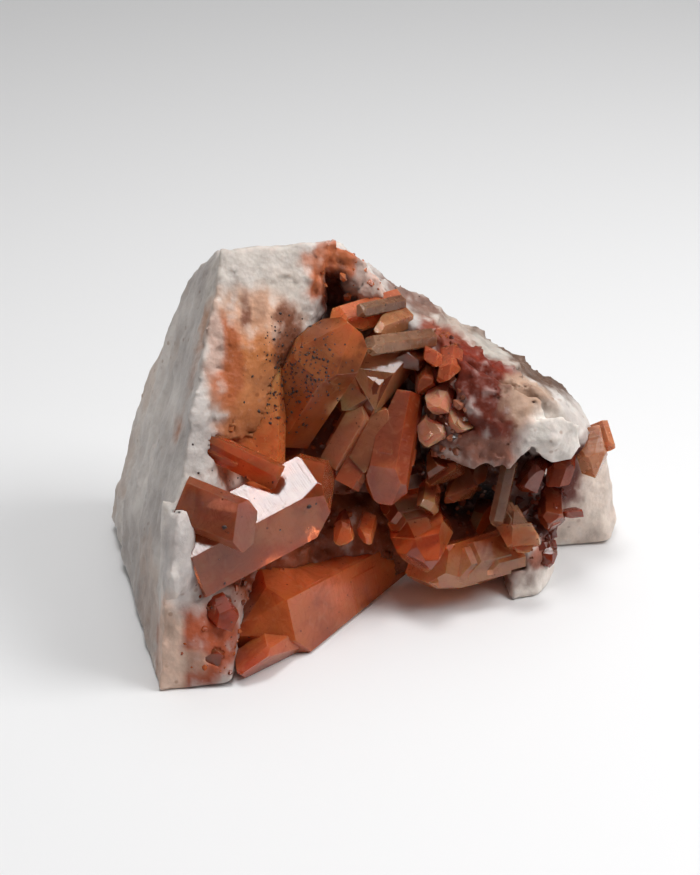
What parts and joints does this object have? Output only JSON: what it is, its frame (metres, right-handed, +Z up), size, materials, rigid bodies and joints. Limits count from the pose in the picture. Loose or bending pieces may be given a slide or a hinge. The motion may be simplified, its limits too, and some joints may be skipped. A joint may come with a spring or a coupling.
{
  "type": "hematoid quartz in matrix",
  "caption": "Chunk of milky quartz rock with an open pocket of orange-brown, iron-stained quartz crystals, standing on its flat underside.",
  "frame": {"origin": "centre of the specimen's outline on the surface that it stands on", "axes": "+Z up, -Y towards the open pocket and the viewer, +X towards the low end of the ridge, with the tall wall on -X"},
  "size_m": [0.135, 0.085, 0.0909],
  "materials": {
    "milky_quartz": "rough broken white to grey quartz, rust-stained in the pocket, faintly translucent",
    "hematoid_quartz": "glossy translucent orange-brown crystal faces, striated across the prism",
    "dark_hematoid_quartz": "glossy translucent dark red crystal faces",
    "pale_quartz": "satin pale peach crystal faces"
  },
  "bodies": {
    "root": {"mirror_face_crystal": "hematoid_quartz", "floor_crystals": "hematoid_quartz", "bed_crystals": "hematoid_quartz", "speckled_crystal": "hematoid_quartz", "blade_crystals": "hematoid_quartz", "slanted_crystal": "hematoid_quartz", "wall_crystal": "pale_quartz", "front_crystals": "hematoid_quartz", "roof_needles": "hematoid_quartz", "sugary_crystals": "hematoid_quartz", "knob_crystals": "hematoid_quartz", "red_crystal_top": "dark_hematoid_quartz", "red_crystal_side": "dark_hematoid_quartz", "red_crystal_pair": "dark_hematoid_quartz", "red_crystal_small_pair": "dark_hematoid_quartz", "pale_crystals": "pale_quartz", "corner_crystal": "hematoid_quartz", "corner_crystal_small": "hematoid_quartz", "matrix": "milky_quartz"}
  },
  "joints": []
}
